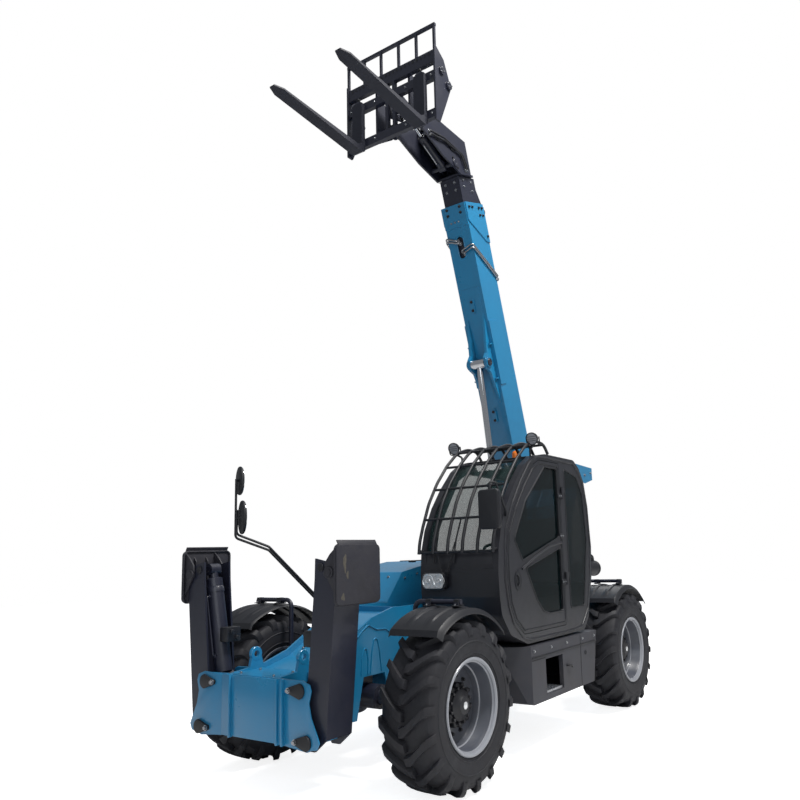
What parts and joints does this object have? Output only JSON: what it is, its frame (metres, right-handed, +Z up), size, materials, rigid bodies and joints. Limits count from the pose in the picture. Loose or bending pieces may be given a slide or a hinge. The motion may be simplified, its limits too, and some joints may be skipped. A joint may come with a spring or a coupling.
{
  "type": "telescopic handler",
  "caption": "Telescopic handler with a raised telescopic boom, fork carriage, side cab, lugged tyres and swing-down front stabilizers.",
  "frame": {"origin": "on the ground under the middle of the whole machine's box", "axes": "-Y to the front of the machine, +X to its left, +Z up"},
  "size_m": [2.5527, 5.635, 6.9302],
  "materials": {
    "blue_paint": "glossy blue paint",
    "dark_paint": "satin near-black paint",
    "cab_paint": "satin dark grey paint",
    "glass": "tinted safety glass",
    "chrome": "hard chromed rod",
    "steel_pipe": "plated steel pipe",
    "tyre_rubber": "dusty lugged rubber",
    "rim_silver": "silver grey paint",
    "black_plastic": "moulded black plastic",
    "seat_vinyl": "black vinyl",
    "amber_lens": "amber lens",
    "battery_case": "black painted case"
  },
  "bodies": {
    "chassis": {"main_frame": "blue_paint", "boom_tower": "blue_paint", "counterweight": "dark_paint", "front_axle": "dark_paint", "rear_axle": "dark_paint", "power_pack_hood": "blue_paint", "battery_block": "battery_case", "side_skirt": "cab_paint", "cab_shell": "cab_paint", "cab_glass": "glass", "roof_guard": "dark_paint", "seat": "seat_vinyl", "steering_console": "black_plastic", "lamps": "black_plastic", "beacon": "amber_lens", "mirrors": "black_plastic"},
    "knuckle_fl": {"knuckle_fl": "dark_paint", "fender_fl": "black_plastic"},
    "wheel_fl": {"tyre_fl": "tyre_rubber", "rim_fl": "rim_silver"},
    "knuckle_fr": {"knuckle_fr": "dark_paint", "fender_fr": "black_plastic"},
    "wheel_fr": {"tyre_fr": "tyre_rubber", "rim_fr": "rim_silver"},
    "knuckle_rl": {"knuckle_rl": "dark_paint", "fender_rl": "black_plastic"},
    "wheel_rl": {"tyre_rl": "tyre_rubber", "rim_rl": "rim_silver"},
    "knuckle_rr": {"knuckle_rr": "dark_paint", "fender_rr": "black_plastic"},
    "wheel_rr": {"tyre_rr": "tyre_rubber", "rim_rr": "rim_silver"},
    "stabilizer_leg_left": {"stabilizer_leg_left": "dark_paint"},
    "stabilizer_pad_left": {"stabilizer_pad_left": "dark_paint"},
    "stabilizer_cylinder_left": {"stabilizer_cylinder_left": "dark_paint"},
    "stabilizer_rod_left": {"stabilizer_rod_left": "chrome"},
    "stabilizer_leg_right": {"stabilizer_leg_right": "dark_paint"},
    "stabilizer_pad_right": {"stabilizer_pad_right": "dark_paint"},
    "stabilizer_cylinder_right": {"stabilizer_cylinder_right": "dark_paint"},
    "stabilizer_rod_right": {"stabilizer_rod_right": "chrome"},
    "boom_outer": {"boom_outer": "blue_paint", "boom_pipes": "steel_pipe"},
    "boom_mid": {"boom_mid": "dark_paint"},
    "boom_head": {"boom_head": "dark_paint"},
    "carriage": {"carriage": "dark_paint", "forks": "dark_paint"},
    "lift_cylinder": {"lift_cylinder": "dark_paint"},
    "lift_rod": {"lift_rod": "chrome"},
    "tilt_cylinder": {"tilt_cylinder": "dark_paint"},
    "tilt_rod": {"tilt_rod": "chrome"},
    "door": {"door": "cab_paint", "door_glass": "glass"}
  },
  "joints": [
    {"name": "steer_fl", "type": "hinge", "parent": "chassis", "child": "knuckle_fl", "pos_m": [0.795, -1.745, 0.617], "axis": [0, 0, 1], "range_deg": [-25, 25]},
    {"name": "steer_fr", "type": "hinge", "parent": "chassis", "child": "knuckle_fr", "pos_m": [-0.795, -1.745, 0.617], "axis": [0, 0, 1], "range_deg": [-25, 25]},
    {"name": "steer_rl", "type": "hinge", "parent": "chassis", "child": "knuckle_rl", "pos_m": [0.795, 1.565, 0.617], "axis": [0, 0, 1], "range_deg": [-25, 25]},
    {"name": "steer_rr", "type": "hinge", "parent": "chassis", "child": "knuckle_rr", "pos_m": [-0.795, 1.565, 0.617], "axis": [0, 0, 1], "range_deg": [-25, 25]},
    {"name": "wheel_fl", "type": "hinge", "parent": "knuckle_fl", "child": "wheel_fl", "pos_m": [0.985, -1.745, 0.617], "axis": [1, 0, 0], "continuous": true},
    {"name": "wheel_fr", "type": "hinge", "parent": "knuckle_fr", "child": "wheel_fr", "pos_m": [-0.985, -1.745, 0.617], "axis": [1, 0, 0], "continuous": true},
    {"name": "wheel_rl", "type": "hinge", "parent": "knuckle_rl", "child": "wheel_rl", "pos_m": [0.985, 1.565, 0.617], "axis": [1, 0, 0], "continuous": true},
    {"name": "wheel_rr", "type": "hinge", "parent": "knuckle_rr", "child": "wheel_rr", "pos_m": [-0.985, 1.565, 0.617], "axis": [1, 0, 0], "continuous": true},
    {"name": "boom_lift", "type": "hinge", "parent": "chassis", "child": "boom_outer", "pos_m": [0, 1.555, 1.9], "axis": [-1, 0, 0], "range_deg": [-74, 0]},
    {"name": "lift_cylinder_swing", "type": "hinge", "parent": "chassis", "child": "lift_cylinder", "pos_m": [0, 0.975, 1.05], "axis": [-1, 0, 0], "range_deg": [-67.22, 0]},
    {"name": "lift_rod_slide", "type": "slide", "parent": "lift_cylinder", "child": "lift_rod", "axis": [0, -0.1675, 0.9859], "range_m": [-1.2125, 0]},
    {"name": "boom_extend", "type": "slide", "parent": "boom_outer", "child": "boom_mid", "axis": [0, -0.309, 0.9511], "range_m": [0, 2.6]},
    {"name": "boom_head_extend", "type": "slide", "parent": "boom_mid", "child": "boom_head", "axis": [0, -0.309, 0.9511], "range_m": [0, 2.6]},
    {"name": "carriage_tilt", "type": "hinge", "parent": "boom_head", "child": "carriage", "pos_m": [0, -0.79398, 6.15224], "axis": [1, 0, 0], "range_deg": [-86, 44]},
    {"name": "tilt_cylinder_swing", "type": "hinge", "parent": "boom_head", "child": "tilt_cylinder", "pos_m": [0, -0.1247, 6.00169], "axis": [1, 0, 0], "range_deg": [-1.61, 2.96]},
    {"name": "tilt_rod_slide", "type": "slide", "parent": "tilt_cylinder", "child": "tilt_rod", "axis": [0, -0.9099, 0.4148], "range_m": [-0.202, 0.1038]},
    {"name": "stabilizer_left", "type": "hinge", "parent": "chassis", "child": "stabilizer_leg_left", "pos_m": [0.545, -2.62, 0.52], "axis": [0, 1, 0], "range_deg": [0, 103]},
    {"name": "stabilizer_cylinder_swing_left", "type": "hinge", "parent": "chassis", "child": "stabilizer_cylinder_left", "pos_m": [0.484, -2.62, 0.844], "axis": [0, 1, 0], "range_deg": [0, 109.42]},
    {"name": "stabilizer_rod_slide_left", "type": "slide", "parent": "stabilizer_cylinder_left", "child": "stabilizer_rod_left", "axis": [0.1947, 0, 0.9809], "range_m": [0, 0.5036]},
    {"name": "stabilizer_pad_swivel_left", "type": "hinge", "parent": "stabilizer_leg_left", "child": "stabilizer_pad_left", "pos_m": [0.735, -2.62, 1.62], "axis": [0, 1, 0], "range_deg": [-13.05, 0]},
    {"name": "stabilizer_right", "type": "hinge", "parent": "chassis", "child": "stabilizer_leg_right", "pos_m": [-0.545, -2.62, 0.52], "axis": [0, -1, 0], "range_deg": [0, 103]},
    {"name": "stabilizer_cylinder_swing_right", "type": "hinge", "parent": "chassis", "child": "stabilizer_cylinder_right", "pos_m": [-0.484, -2.62, 0.844], "axis": [0, -1, 0], "range_deg": [0, 109.42]},
    {"name": "stabilizer_rod_slide_right", "type": "slide", "parent": "stabilizer_cylinder_right", "child": "stabilizer_rod_right", "axis": [-0.1947, 0, 0.9809], "range_m": [0, 0.5036]},
    {"name": "stabilizer_pad_swivel_right", "type": "hinge", "parent": "stabilizer_leg_right", "child": "stabilizer_pad_right", "pos_m": [-0.735, -2.62, 1.62], "axis": [0, -1, 0], "range_deg": [-13.05, 0]},
    {"name": "door_hinge", "type": "hinge", "parent": "chassis", "child": "door", "pos_m": [1.096, 0.172, 1.8], "axis": [0, 0, 1], "range_deg": [0, 95]}
  ],
  "couplings": [
    {"joint": "steer_fr", "follows": "steer_fl", "ratio": 1},
    {"joint": "steer_rr", "follows": "steer_rl", "ratio": 1},
    {"joint": "lift_cylinder_swing", "follows": "boom_lift", "ratio": 0.9077},
    {"joint": "lift_rod_slide", "follows": "boom_lift", "m_per_rad": 0.938},
    {"joint": "boom_head_extend", "follows": "boom_extend", "ratio": 1},
    {"joint": "tilt_cylinder_swing", "follows": "carriage_tilt", "ratio": -0.0321},
    {"joint": "tilt_rod_slide", "follows": "carriage_tilt", "m_per_rad": 0.1339},
    {"joint": "stabilizer_cylinder_swing_left", "follows": "stabilizer_left", "ratio": 1.0618},
    {"joint": "stabilizer_rod_slide_left", "follows": "stabilizer_left", "m_per_rad": 0.2796},
    {"joint": "stabilizer_pad_swivel_left", "follows": "stabilizer_left", "ratio": -0.1262},
    {"joint": "stabilizer_cylinder_swing_right", "follows": "stabilizer_right", "ratio": 1.0618},
    {"joint": "stabilizer_rod_slide_right", "follows": "stabilizer_right", "m_per_rad": 0.2796},
    {"joint": "stabilizer_pad_swivel_right", "follows": "stabilizer_right", "ratio": -0.1262}
  ]
}
